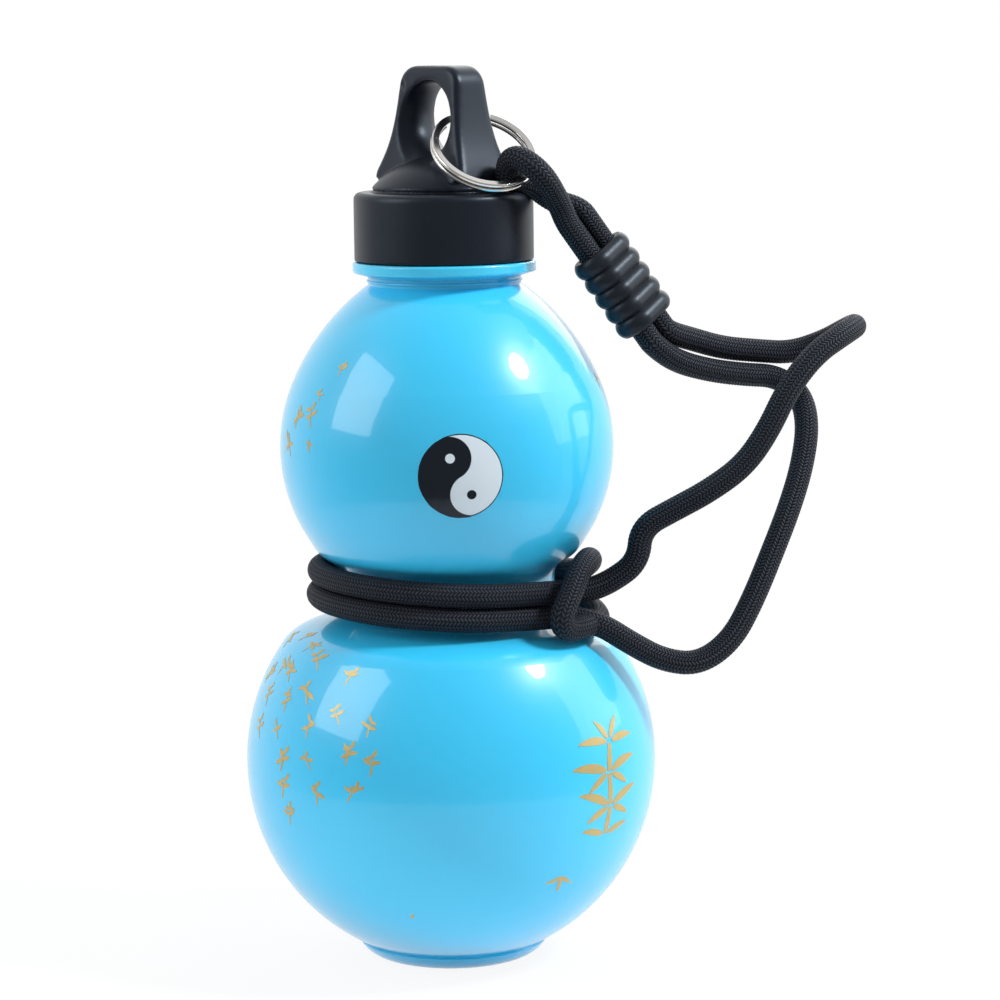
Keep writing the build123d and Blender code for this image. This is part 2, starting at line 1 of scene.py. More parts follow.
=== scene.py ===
"""Looks of a gourd-shaped water bottle with a screw cap, a split ring and a carry cord.

Metres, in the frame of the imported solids: the origin is the centre of the base and +Z is up.
"""
import json
import math
import random
import bpy
from mathutils import Matrix, Vector

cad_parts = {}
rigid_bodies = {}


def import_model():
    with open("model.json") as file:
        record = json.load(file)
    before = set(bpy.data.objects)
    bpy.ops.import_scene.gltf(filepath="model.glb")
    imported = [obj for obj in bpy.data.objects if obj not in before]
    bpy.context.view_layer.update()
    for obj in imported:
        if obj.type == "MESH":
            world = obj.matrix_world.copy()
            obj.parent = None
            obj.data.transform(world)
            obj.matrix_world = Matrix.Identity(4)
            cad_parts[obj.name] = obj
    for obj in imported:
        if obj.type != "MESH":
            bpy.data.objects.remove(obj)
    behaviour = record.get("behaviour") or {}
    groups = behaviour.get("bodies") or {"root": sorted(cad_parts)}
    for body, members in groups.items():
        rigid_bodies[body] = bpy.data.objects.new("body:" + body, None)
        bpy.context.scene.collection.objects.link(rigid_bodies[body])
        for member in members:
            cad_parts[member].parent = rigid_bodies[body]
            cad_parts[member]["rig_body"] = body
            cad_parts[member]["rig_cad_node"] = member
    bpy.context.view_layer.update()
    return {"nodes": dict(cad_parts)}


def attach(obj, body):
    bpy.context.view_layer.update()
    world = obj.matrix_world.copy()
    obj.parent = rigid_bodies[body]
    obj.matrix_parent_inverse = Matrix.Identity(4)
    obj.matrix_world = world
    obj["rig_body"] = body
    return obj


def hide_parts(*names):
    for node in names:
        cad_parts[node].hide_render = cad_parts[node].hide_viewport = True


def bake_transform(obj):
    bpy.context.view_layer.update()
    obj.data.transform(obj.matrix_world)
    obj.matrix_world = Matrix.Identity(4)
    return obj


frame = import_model()
nodes = frame["nodes"]
scene = bpy.context.scene
scene.view_settings.view_transform = "Standard"
bpy.ops.object.select_all(action="DESELECT")

UP = Vector((0, 0, 1))
MM = 0.001

# Camera, as the photograph was taken
CAMERA_TURN = 48.0           # degrees about the bottle's axis
CAMERA_DISTANCE = 1.0
CAMERA_HEIGHT = 0.275
CAMERA_DIP = 7.985           # degrees below level
CAMERA_ROLL = -0.8
CAMERA_LENS = 124.34
CAMERA_SENSOR = 36
CAMERA_SHIFT = (0.0524, 0.0007)
CAMERA_REACH = 20


def turned(degrees, axis):
    """Rotation about one of the main axes."""
    return Matrix.Rotation(math.radians(degrees), 4, axis)


def make_camera():
    """Camera at the photograph's angle."""
    camera = bpy.data.objects.new("camera", bpy.data.cameras.new("camera"))
    camera.data.sensor_width = CAMERA_SENSOR
    camera.data.lens = CAMERA_LENS
    camera.data.shift_x, camera.data.shift_y = CAMERA_SHIFT
    camera.data.clip_end = CAMERA_REACH
    turn = turned(CAMERA_TURN, "Z")
    place = turn @ Matrix.Translation((0, -CAMERA_DISTANCE, CAMERA_HEIGHT))
    camera.matrix_world = place @ turned(90 - CAMERA_DIP, "X") @ turned(CAMERA_ROLL, "Z")
    scene.collection.objects.link(camera)
    scene.camera = camera


make_camera()

# Cord: two strands through the keeper, from its middle along its axis
CORD_DIAMETER = 0.007
KEEPER_AXIS = Vector((0.322, 0.471, -0.821)).normalized()
KEEPER_WIDE = Vector((-0.133, 0.881, 0.453)).normalized()
KEEPER_TOP = Vector((0.0360, 0.0266, 0.2083))
KEEPER_HALF_LENGTH = 0.012875
KEEPER_MIDDLE = KEEPER_TOP + KEEPER_AXIS * KEEPER_HALF_LENGTH
STRAND_OFFSET = 0.00365
KEEPER_LEAD = 0.024875       # each strand runs straight this far above the keeper's middle
KEEPER_TRAIL = 0.019075      # and this far below it
LEAD_HOLD = 0.020            # points in between that hold it to the straight
TRAIL_HOLD = 0.0155


def strand(side, past_middle):
    """Point of one of the two strands, a distance past the keeper's middle."""
    return KEEPER_MIDDLE + KEEPER_AXIS * past_middle + KEEPER_WIDE * (side * STRAND_OFFSET)


# Cord: tilted turns round the waist
WRAP_RADIUS = 0.0381
WRAP_HEIGHT = 0.1095
WRAP_TILT = 3.2              # degrees from level
WRAP_LEAN = 48.0             # azimuth that it tilts towards
WRAP_FRONT = -8.0            # azimuths that the turns run between
WRAP_BACK = -276.0
WRAP_LEVEL = 0.0035          # each turn lies this far above or below the middle
WRAP_END = 0.007             # the turns end this far past the front, and leave this far past the back
WRAP_LEAVE = 0.012
TURN_POINTS = 12

tilt, lean = math.radians(WRAP_TILT), math.radians(WRAP_LEAN)
wrap_up = Vector((math.sin(tilt) * math.cos(lean), math.sin(tilt) * math.sin(lean), math.cos(tilt)))
wrap_x = (Vector((1, 0, 0)) - wrap_up * wrap_up.x).normalized()
wrap_y = wrap_up.cross(wrap_x)


def on_wrap(azimuth, level, ahead=0.0, radius=WRAP_RADIUS):
    """Point of the tilted circle round the waist, moved ahead along the tangent."""
    angle = math.radians(azimuth)
    x = radius * math.cos(angle) - ahead * math.sin(angle)
    y = radius * math.sin(angle) + ahead * math.cos(angle)
    return Vector((0, 0, WRAP_HEIGHT)) + wrap_x * x + wrap_y * y + wrap_up * level


def wrap_turn(level):
    """Corners of the turn round the waist, from the front round to the knot."""
    each = (WRAP_BACK - WRAP_FRONT) / TURN_POINTS
    radius = WRAP_RADIUS / math.cos(math.radians(each / 2))
    return [on_wrap(WRAP_FRONT + each * (i + 0.5), level, 0.0, radius) for i in range(TURN_POINTS)]


# Cord: the solids' routes, with some points moved to follow the photograph more closely
ring_loop_route = [
    strand(-1, 0),
    strand(-1, -LEAD_HOLD),
    strand(-1, -KEEPER_LEAD),
    (0.0325, 0.0150, 0.2220),
    (0.0350, 0.0055, 0.2315),
    (0.0260, 0.0030, 0.2365),
    (0.0205, 0.0050, 0.2285),
    (0.0225, 0.0125, 0.2280),
    (0.0240, 0.0205, 0.2220),
    strand(1, -KEEPER_LEAD),
    strand(1, -LEAD_HOLD),
    strand(1, 0),
]
leg_upper_route = [
    strand(1, 0),
    strand(1, TRAIL_HOLD),
    strand(1, KEEPER_TRAIL),
    (0.0455, 0.0550, 0.1810),
    (0.0470, 0.0670, 0.1775),
    (0.0505, 0.0785, 0.1760),
    (0.0550, 0.0880, 0.1750),
    (0.0630, 0.0940, 0.1785),
    (0.0730, 0.0930, 0.1830),
    (0.0825, 0.0860, 0.1850),
    (0.0875, 0.0745, 0.1835),
    (0.0860, 0.0640, 0.1785),
    (0.0830, 0.0560, 0.1690),
    (0.0795, 0.0510, 0.1565),
    (0.0750, 0.0460, 0.1470),
    (0.0685, 0.0385, 0.1400),
    (0.0615, 0.0325, 0.1350),
    (0.0542, 0.0255, 0.1295),
    (0.0532, 0.0252, 0.1195),
    (0.0470, 0.0200, 0.1135),
    (0.0425, 0.0145, 0.1110),
    on_wrap(WRAP_FRONT, WRAP_LEVEL, 2 * WRAP_END),
    on_wrap(WRAP_FRONT, WRAP_LEVEL, WRAP_END),
]
leg_lower_route = [
    strand(-1, 0),
    strand(-1, TRAIL_HOLD),
    strand(-1, KEEPER_TRAIL),
    (0.0470, 0.0475, 0.1750),
    (0.0485, 0.0600, 0.1715),
    (0.0510, 0.0720, 0.1695),
    (0.0540, 0.0825, 0.1685),
    (0.0595, 0.0870, 0.1635),
    (0.0650, 0.0845, 0.1550),
    (0.0680, 0.0785, 0.1430),
    (0.0695, 0.0710, 0.1310),
    (0.0695, 0.0640, 0.1195),
    (0.0685, 0.0570, 0.1065),
    (0.0665, 0.0500, 0.0950),
    (0.0615, 0.0415, 0.0885),
    (0.0555, 0.0330, 0.0900),
    (0.0510, 0.0245, 0.0955),
    (0.0465, 0.0160, 0.1020),
    on_wrap(WRAP_FRONT, -WRAP_LEVEL, 2 * WRAP_END),
    on_wrap(WRAP_FRONT, -WRAP_LEVEL, WRAP_END),
]
waist_route = [
    on_wrap(WRAP_FRONT, WRAP_LEVEL, WRAP_END),
    *wrap_turn(WRAP_LEVEL),
    on_wrap(WRAP_BACK, WRAP_LEVEL, -WRAP_LEAVE),
    (0.0315, 0.0275, 0.1170),
    (0.0420, 0.0165, 0.1205),
    (0.0465, 0.0080, 0.1180),
    (0.0480, 0.0025, 0.1110),
    (0.0475, -0.0005, 0.1055),
    (0.0465, 0.0025, 0.1015),
    (0.0460, 0.0110, 0.1015),
    (0.0420, 0.0220, 0.1025),
    on_wrap(WRAP_BACK, -WRAP_LEVEL, -WRAP_LEAVE),
    *reversed(wrap_turn(-WRAP_LEVEL)),
    on_wrap(WRAP_FRONT, -WRAP_LEVEL, WRAP_END),
]

# Cord: its braid of raised stitches
LINE_STEPS = 24
STITCH_COLUMNS = 18
STITCH_PITCH = 0.0010
STITCH_SLANT = 0.85
STITCH_DEPTH = 0.00020
STITCH_FALL = 0.6            # share of the height that is lost at a column's edges
SAMPLES = 3                  # rows and columns of points in each stitch
TINY = 1e-9


def smooth_line(name, route):
    """Points read from the smooth line that a route controls."""
    curve = bpy.data.curves.new(name, "CURVE")
    curve.dimensions = "3D"
    curve.resolution_u = LINE_STEPS
    spline = curve.splines.new("NURBS")
    spline.points.add(len(route) - 1)
    for point, place in zip(spline.points, route):
        point.co = (*place, 1)
    spline.order_u = 3
    spline.use_endpoint_u = True
    holder = bpy.data.objects.new(name, curve)
    line = bpy.data.meshes.new_from_object(holder)
    points = [vertex.co.copy() for vertex in line.vertices]
    bpy.data.objects.remove(holder)
    bpy.data.meshes.remove(line)
    bpy.data.curves.remove(curve)
    return points


def evenly(points, spacing):
    """The same line in equal steps close to a spacing."""
    lengths = [0.0]
    for here, there in zip(points, points[1:]):
        lengths.append(lengths[-1] + (there - here).length)
    count = round(lengths[-1] / spacing)
    stepped, place = [], 0
    for step in range(count + 1):
        reach = lengths[-1] * step / count
        while place < len(points) - 2 and lengths[place + 1] < reach:
            place += 1
        share = (reach - lengths[place]) / max(lengths[place + 1] - lengths[place], TINY)
        stepped.append(points[place].lerp(points[place + 1], min(share, 1.0)))
    return stepped


def carried_frames(points):
    """Sideways directions along a line, carried on with the least twist."""
    ahead = [(there - here).normalized() for here, there in zip(points, points[1:])]
    ahead.append(ahead[-1])
    side = ahead[0].orthogonal().normalized()
    frames = []
    for direction in ahead:
        side = (side - direction * side.dot(direction)).normalized()
        frames.append((side, direction.cross(side)))
    return frames


def stitch_height(across, along):
    """How far a braid's stitch stands out at a place, from 0 to 1."""
    column = across % 1.0
    slant = math.floor(across) % 2 * 2 - 1
    stitch = (along + slant * column * STITCH_SLANT) % 1.0
    return (1 - (2 * stitch - 1) ** 2) * (1 - STITCH_FALL * (2 * column - 1) ** 4)


def braided_cord(name, route):
    """Round braid along a route, with its stitches raised, and the line that it follows."""
    points = evenly(smooth_line(name, route), STITCH_PITCH / SAMPLES)
    around_count = STITCH_COLUMNS * SAMPLES
    vertices, faces, marks = [], [], []
    for row, (point, (side, other)) in enumerate(zip(points, carried_frames(points))):
        for i in range(around_count):
            angle = math.tau * i / around_count
            height = stitch_height((i + 0.5) / SAMPLES, row / SAMPLES)
            radius = CORD_DIAMETER / 2 - STITCH_DEPTH * (1 - height)
            vertices.append(point + (side * math.cos(angle) + other * math.sin(angle)) * radius)
    for row in range(len(points) - 1):
        for i in range(around_count):
            after = (i + 1) % around_count
            low, high = row * around_count, (row + 1) * around_count
            faces.append((low + i, low + after, high + after, high + i))
            left, right = (i + 0.5) / SAMPLES, (i + 1.5) / SAMPLES
            below, above = row / SAMPLES, (row + 1) / SAMPLES
            marks += [(left, below), (right, below), (right, above), (left, above)]
    last = (len(points) - 1) * around_count
    faces.append(tuple(reversed(range(around_count))))
    faces.append(tuple(range(last, last + around_count)))
    marks += [(0.5, 0.5)] * (2 * around_count)
    mesh = bpy.data.meshes.new(name)
    mesh.from_pydata(vertices, [], faces)
    layer = mesh.uv_layers.new(name="braid")
    for loop, mark in zip(layer.data, marks):
        loop.uv = mark
    mesh.polygons.foreach_set("use_smooth", [True] * len(mesh.polygons))
    cord = bpy.data.objects.new(name, mesh)
    scene.collection.objects.link(cord)
    return cord, points


def hang_cord(name, route, node):
    """One stretch of the cord: made, with the imported piece that it stands for hidden."""
    cord, points = braided_cord(name, route)
    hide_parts(node)
    return cord


ring_loop_cord = hang_cord("ring_loop_cord", ring_loop_route, "cord_ring_loop")
upper_leg_cord = hang_cord("upper_leg_cord", leg_upper_route, "cord_leg_upper")
lower_leg_cord = hang_cord("lower_leg_cord", leg_lower_route, "cord_leg_lower")
waist_cord = hang_cord("waist_cord", waist_route, "cord_waist_wrap")
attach(ring_loop_cord, "cap")
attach(waist_cord, "waist_loop")

# Legs of the cord, with their placement baked into their points
for leg in (upper_leg_cord, lower_leg_cord):
    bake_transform(leg)


# Shader maths
class Value:
    """A shader socket that takes part in sums."""

    def __init__(self, finish, socket):
        self.finish = finish
        self.socket = socket

    def __add__(self, other):
        return self.finish.maths("ADD", self, other)

    def __sub__(self, other):
        return self.finish.maths("SUBTRACT", self, other)

    def __rsub__(self, other):
        return self.finish.maths("SUBTRACT", other, self)

    def __mul__(self, other):
        return self.finish.maths("MULTIPLY", self, other)

    def __pow__(self, other):
        return self.finish.maths("POWER", self, other)


class Finish:
    """A procedural material, put together node by node round one surface shader."""

    def __init__(self, name, **constants):
        self.material = bpy.data.materials.new(name)
        self.material.use_nodes = True
        self.tree = self.material.node_tree
        self.shader = self.tree.nodes["Principled BSDF"]
        for socket, value in constants.items():
            self.shader.inputs[socket.replace("_", " ")].default_value = value

    def node(self, kind, settings=None, sockets=None):
        """Any node: its settings first, then the values or links of its sockets."""
        made = self.tree.nodes.new(kind)
        for name, value in (settings or {}).items():
            setattr(made, name, value)
        for name, value in (sockets or {}).items():
            self.feed(made.inputs[name], value)
        return made

    def feed(self, socket, value):
        """Link or set one socket."""
        if isinstance(value, Value):
            value = value.socket
        if isinstance(value, bpy.types.NodeSocket):
            self.tree.links.new(value, socket)
        else:
            socket.default_value = value

    def surface(self, **sockets):
        """Feed the surface shader."""
        for name, value in sockets.items():
            self.feed(self.shader.inputs[name.replace("_", " ")], value)

    def maths(self, operation, *values):
        """Result of one sum on numbers."""
        made = self.node("ShaderNodeMath", {"operation": operation}, dict(enumerate(values)))
        return Value(self, made.outputs[0])

    def vector(self, operation, *values):
        """Result of one sum on vectors."""
        made = self.node("ShaderNodeVectorMath", {"operation": operation}, dict(enumerate(values)))
        return Value(self, made.outputs["Value" if operation == "DOT_PRODUCT" else "Vector"])

    def place(self):
        """Position on the object."""
        return Value(self, self.node("ShaderNodeTexCoord").outputs["Object"])

    def parts(self, vector):
        """The three numbers of a vector."""
        made = self.node("ShaderNodeSeparateXYZ", None, {0: vector})
        return [Value(self, socket) for socket in made.outputs]

    def noise(self, scale, detail=3.0, roughness=0.5):
        """Cloudy noise from 0 to 1, with its scale in cycles per metre."""
        made = self.node("ShaderNodeTexNoise", {"noise_dimensions": "3D"}, {
            "Vector": self.place(), "Scale": scale, "Detail": detail, "Roughness": roughness,
        })
        return Value(self, made.outputs[0])

    def mix(self, share, colour_a, colour_b):
        """Colour between two colours."""
        made = self.node("ShaderNodeMix", {"data_type": "RGBA"}, {
            0: share, 6: self.colour(colour_a), 7: self.colour(colour_b),
        })
        return Value(self, made.outputs[2])

    def colour(self, value):
        """A colour with its opacity, unless it is a link."""
        return value if isinstance(value, Value) else (*value, 1)

    def step(self, value, edge, width):
        """Soft step from 0 below an edge to 1 above it."""
        made = self.node("ShaderNodeMapRange", {"interpolation_type": "SMOOTHSTEP"}, {
            "Value": value, "From Min": edge - width, "From Max": edge + width,
        })
        return Value(self, made.outputs[0])

    def band(self, value, low, high, width):
        """Soft band that is 1 between two edges."""
        return self.step(value, low, width) - self.step(value, high, width)

    def bump(self, height, depth, strength, below=None):
        """Normal of a relief whose height runs from 0 to 1."""
        sockets = {"Height": height, "Distance": depth, "Strength": strength}
        if below is not None:
            sockets["Normal"] = below
        made = self.node("ShaderNodeBump", None, sockets)
        return Value(self, made.outputs[0])


# Colours, as light that the surface sends back
SKY_BLUE = (0.034, 0.555, 0.905)
DEEP_BLUE = (0.014, 0.450, 0.840)
PALE_BLUE = (0.065, 0.650, 0.950)
CAP_BLACK = (0.0048, 0.0068, 0.0120)
CAP_GREY = (0.0115, 0.0150, 0.0240)
CAP_SCUFF = (0.0480, 0.0540, 0.0700)
RUBBER_BLACK = (0.0055, 0.0075, 0.0110)
RUBBER_GREY = (0.0110, 0.0140, 0.0190)
BRAID_DARK = (0.0010, 0.0012, 0.0020)
# painted highlight colour of the braid's stitch crests
BRAID_CREST_HIGHLIGHT = (0.0600, 0.0670, 0.0900)
NICKEL = (0.760, 0.745, 0.720)
NICKEL_DARK = (0.520, 0.500, 0.480)
GOLD = (0.470, 0.340, 0.110)
GOLD_PALE = (0.600, 0.480, 0.220)
SILICONE = (0.55, 0.55, 0.53)
SILICONE_PALE = (0.70, 0.70, 0.68)
PRINT_BLACK = (0.0035, 0.0060, 0.0110)
PRINT_WHITE = (0.700, 0.800, 0.880)
COOL_GLOSS = (0.70, 0.83, 1.0, 1.0)   # tint of the black parts' reflections
PLASTIC_IOR = 1.45

FLANGE_LOW = 0.199           # heights between which the thin flange looks paler
FLANGE_HIGH = 0.2052
FLANGE_SOFT = 0.0015


def blue_plastic():
    """Glossy blown plastic: slow drift in colour, faint waves and fine wear in the gloss."""
    drift_scale, wave_scale, rub_scale, grain_scale = 11.0, 38.0, 900.0, 2600.0
    even_share, thin_share = 0.55, 0.55
    gloss_roughness, rub_roughness = 0.34, 0.10
    wave_depth, grain_depth = 0.35 * MM, 0.01 * MM
    finish = Finish("blue plastic", IOR=PLASTIC_IOR, Coat_Weight=0.7, Coat_Roughness=0.055)
    drift = finish.noise(drift_scale, detail=2.0)
    colour = finish.mix(drift, DEEP_BLUE, PALE_BLUE)
    colour = finish.mix(even_share, colour, SKY_BLUE)
    height = finish.parts(finish.place())[2]
    thin = finish.band(height, FLANGE_LOW, FLANGE_HIGH, FLANGE_SOFT)
    colour = finish.mix(thin * thin_share, colour, PALE_BLUE)
    rub = finish.step(finish.noise(rub_scale, detail=6.0, roughness=0.7), edge=0.66, width=0.08)
    waves = finish.noise(wave_scale, detail=1.0)
    grain = finish.noise(grain_scale, detail=2.0)
    relief = finish.bump(waves, wave_depth, strength=0.35)
    relief = finish.bump(grain, grain_depth, strength=0.25, below=relief)
    finish.surface(Base_Color=colour, Roughness=rub * rub_roughness + gloss_roughness, Normal=relief)
    return finish.material


def cap_plastic():
    """Satin moulded black with a spark-eroded grain, faint flow marks and light scuffs."""
    flow_scale, scuff_scale, grain_scale = 120.0, 520.0, 5200.0
    flow_share, scuff_share = 0.55, 0.65
    satin_roughness, flow_roughness, scuff_roughness = 0.33, 0.10, 0.12
    flow_depth, grain_depth = 0.08 * MM, 0.022 * MM
    finish = Finish("cap plastic", IOR=PLASTIC_IOR, Specular_IOR_Level=0.42, Specular_Tint=COOL_GLOSS)
    flow = finish.noise(flow_scale, detail=4.0, roughness=0.6)
    scuff = finish.noise(scuff_scale, detail=8.0, roughness=0.78)
    scuff = finish.step(scuff, edge=0.715, width=0.035)
    grain = finish.noise(grain_scale, detail=3.0, roughness=0.6)
    colour = finish.mix(flow * flow_share, CAP_BLACK, CAP_GREY)
    colour = finish.mix(scuff * scuff_share, colour, CAP_SCUFF)
    relief = finish.bump(flow, flow_depth, strength=0.30)
    relief = finish.bump(grain, grain_depth, strength=0.55, below=relief)
    roughness = flow * flow_roughness + scuff * scuff_roughness + satin_roughness
    finish.surface(Base_Color=colour, Roughness=roughness, Normal=relief)
    return finish.material


def soft_rubber():
    """Satin rubber with a cloudy skin and fine pores."""
    cloud_scale, pore_scale = 420.0, 6500.0
    satin_roughness, cloud_roughness = 0.32, 0.12
    cloud_depth, pore_depth = 0.05 * MM, 0.02 * MM
    finish = Finish("soft rubber", IOR=PLASTIC_IOR, Specular_IOR_Level=0.40, Specular_Tint=COOL_GLOSS)
    cloud = finish.noise(cloud_scale, detail=4.0, roughness=0.6)
    pores = finish.noise(pore_scale, detail=2.0)
    relief = finish.bump(cloud, cloud_depth, strength=0.30)
    relief = finish.bump(pores, pore_depth, strength=0.45, below=relief)
    finish.surface(
        Base_Color=finish.mix(cloud, RUBBER_BLACK, RUBBER_GREY),
        Roughness=cloud * cloud_roughness + satin_roughness,
        Normal=relief,
    )
    return finish.material


def silicone():
    """Soft grey washer with a fine matt skin."""
    cloud_scale, skin_scale = 300.0, 4000.0
    matt_roughness, cloud_roughness = 0.42, 0.1
    cloud_share, skin_depth = 0.25, 0.02 * MM
    finish = Finish("silicone", IOR=1.42)
    cloud = finish.noise(cloud_scale)
    finish.surface(
        Base_Color=finish.mix(cloud * cloud_share, SILICONE, SILICONE_PALE),
        Roughness=cloud * cloud_roughness + matt_roughness,
        Normal=finish.bump(finish.noise(skin_scale), skin_depth, strength=0.3),
    )
    return finish.material


def nickel():
    """Plated spring wire with a few dull spots."""
    cloud_scale, dull_scale, grain_scale = 260.0, 900.0, 3800.0
    dull_share, cloud_share = 0.6, 0.2
    bright_roughness, dull_roughness, cloud_roughness = 0.10, 0.16, 0.06
    grain_depth = 0.02 * MM
    finish = Finish("nickel", Metallic=1.0)
    cloud = finish.noise(cloud_scale, detail=4.0, roughness=0.6)
    dull = finish.step(finish.noise(dull_scale, detail=5.0, roughness=0.7), edge=0.62, width=0.08)
    grain = finish.noise(grain_scale, detail=4.0, roughness=0.7)
    finish.surface(
        Base_Color=finish.mix(dull * dull_share + cloud * cloud_share, NICKEL, NICKEL_DARK),
        Roughness=dull * dull_roughness + cloud * cloud_roughness + bright_roughness,
        Normal=finish.bump(grain, grain_depth, strength=0.25),
    )
    return finish.material


def braid():
    """Herringbone braid: columns of slanted stitches that lean in turn to the left and right, with a
    painted highlight on each stitch's crest that leaves the gaps between them darker as painted shade.
    """
    fibre_scale, fibre_depth, stitch_depth = 5200.0, 0.06 * MM, 0.22 * MM
    edge_height, middle_height = 0.3, 0.7
    fibre_highlight, even_highlight = 1.2, 0.10
    matt_roughness, rise_gloss = 0.62, 0.16
    finish = Finish("braid", IOR=PLASTIC_IOR, Specular_IOR_Level=0.22, Specular_Tint=COOL_GLOSS)
    place = Value(finish, finish.node("ShaderNodeUVMap", {"uv_map": "braid"}).outputs[0])
    across, along, _ = finish.parts(place)
    column = finish.maths("FRACT", across)
    slant = finish.maths("FLOORED_MODULO", finish.maths("FLOOR", across), 2.0) * 2 - 1
    stitch = finish.maths("FRACT", along + slant * column * STITCH_SLANT)
    round_stitch = 1 - (stitch * 2 - 1) ** 2
    round_column = 1 - (column * 2 - 1) ** 4
    height = round_stitch * (round_column * middle_height + edge_height)
    fibre = finish.noise(fibre_scale, detail=3.0, roughness=0.65)
    # painted highlight: the colour lightens towards each stitch's crest, so the gaps between stitches
    # stay dark as painted shade
    crest_highlight = height ** 3.0 * (fibre * fibre_highlight + even_highlight)
    relief = finish.bump(height, stitch_depth, strength=0.9)
    relief = finish.bump(fibre, fibre_depth, strength=0.5, below=relief)
    finish.surface(
        Base_Color=finish.mix(crest_highlight, BRAID_DARK, BRAID_CREST_HIGHLIGHT),
        Roughness=matt_roughness - height * rise_gloss,
        Normal=relief,
    )
    return finish.material


def gold_paint():
    """Screen-printed gold, thin in places."""
    speck_scale, cloud_scale = 2400.0, 180.0
    speck_share, cloud_share = 0.5, 0.5
    gloss_roughness, speck_roughness, speck_depth = 0.26, 0.2, 0.02 * MM
    finish = Finish("gold paint", Metallic=0.35, IOR=1.5)
    speck = finish.noise(speck_scale, detail=4.0, roughness=0.7)
    cloud = finish.noise(cloud_scale, detail=2.0)
    finish.surface(
        Base_Color=finish.mix(cloud * cloud_share + speck * speck_share, GOLD, GOLD_PALE),
        Roughness=speck * speck_roughness + gloss_roughness,
        Normal=finish.bump(speck, speck_depth, strength=0.4),
    )
    return finish.material


# Emblem on the upper bulb: place, radius and lean of its dividing line
EMBLEM_CENTRE = Vector((0.03849, -0.02953, 0.14812))
UPPER_CENTRE = Vector((0, 0, 0.151))
EMBLEM_RADIUS = 0.01197
EMBLEM_RIM = 0.00036
EMBLEM_LEAN = 30.0
EMBLEM_DOT = 0.00135
EMBLEM_SOFT = 0.00006


def frame_at(place, centre):
    """Outward, upward and rightward directions on a bulb."""
    outward = (place - centre).normalized()
    upward = (UP - outward * outward.z).normalized()
    return outward, upward, upward.cross(outward)


def emblem_print():
    """Two interlocked halves, black and white, each with a dot of the other's colour."""
    speck_scale, speck_depth = 1800.0, 0.01 * MM
    gloss_roughness, speck_roughness = 0.12, 0.1
    finish = Finish("emblem print", Specular_IOR_Level=0.4, Specular_Tint=COOL_GLOSS, Coat_Weight=0.1,
                    Coat_Roughness=0.04)
    outward, upward, rightward = frame_at(EMBLEM_CENTRE, UPPER_CENTRE)
    lean = math.radians(EMBLEM_LEAN)
    head = upward * math.cos(lean) - rightward * math.sin(lean)
    cross = upward * math.sin(lean) + rightward * math.cos(lean)
    offset = finish.vector("SUBTRACT", finish.place(), tuple(EMBLEM_CENTRE))
    ahead = finish.vector("DOT_PRODUCT", offset, tuple(head))
    aside = finish.vector("DOT_PRODUCT", offset, tuple(cross))

    def distance(from_ahead):
        """Distance from a point of the dividing line's axis."""
        rise = ahead - from_ahead
        return finish.maths("SQRT", rise * rise + aside * aside)

    def within(reach, radius):
        """1 inside a circle, and 0 outside it."""
        return 1 - finish.step(reach, radius, EMBLEM_SOFT)

    half = EMBLEM_RADIUS / 2
    near_head, near_tail = distance(half), distance(-half)
    white = finish.step(aside, 0.0, EMBLEM_SOFT)
    white = white * (1 - within(near_head, half))
    white = white + (1 - white) * within(near_tail, half)
    white = white + within(near_head, EMBLEM_DOT)
    white = white * (1 - within(near_tail, EMBLEM_DOT))
    white = white * within(distance(0.0), EMBLEM_RADIUS - EMBLEM_RIM)
    speck = finish.noise(speck_scale, detail=4.0, roughness=0.7)
    finish.surface(
        Base_Color=finish.mix(white, PRINT_BLACK, PRINT_WHITE),
        Roughness=speck * speck_roughness + gloss_roughness,
        Normal=finish.bump(speck, speck_depth, strength=0.3),
    )
    return finish.material


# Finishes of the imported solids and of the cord
def dress(piece, material):
    """Give a piece its one finish."""
    piece.data.materials.clear()
    piece.data.materials.append(material)


cap_material = cap_plastic()
braid_material = braid()
dress(nodes["bottle_shell"], blue_plastic())
dress(nodes["cap_shell"], cap_material)
dress(nodes["cap_insert"], cap_material)
dress(nodes["cap_gasket"], silicone())
dress(nodes["split_ring"], nickel())
dress(nodes["cord_keeper"], soft_rubber())
for cord in (ring_loop_cord, upper_leg_cord, lower_leg_cord, waist_cord):
    dress(cord, braid_material)


def pick_out(piece):
    """Make a piece the only one selected."""
    bpy.ops.object.select_all(action="DESELECT")
    piece.select_set(True)
    bpy.context.view_layer.objects.active = piece


def apply_all(piece):
    """Apply a piece's modifiers in their order."""
    pick_out(piece)
    for modifier in list(piece.modifiers):
        bpy.ops.object.modifier_apply(modifier=modifier.name)


# Cap with the handle's edges worn soft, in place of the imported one
CAP_CELL = 0.0005
CAP_MERGE = 1e-6
SOFT_LOW = 0.2262            # the softening starts at this height
SOFT_HIGH = 0.2290           # and is full from here up
SOFT_LEAST = 0.06            # share of it that the skirt gets
SOFT_FACTOR = 0.5
SOFT_TIMES = 13


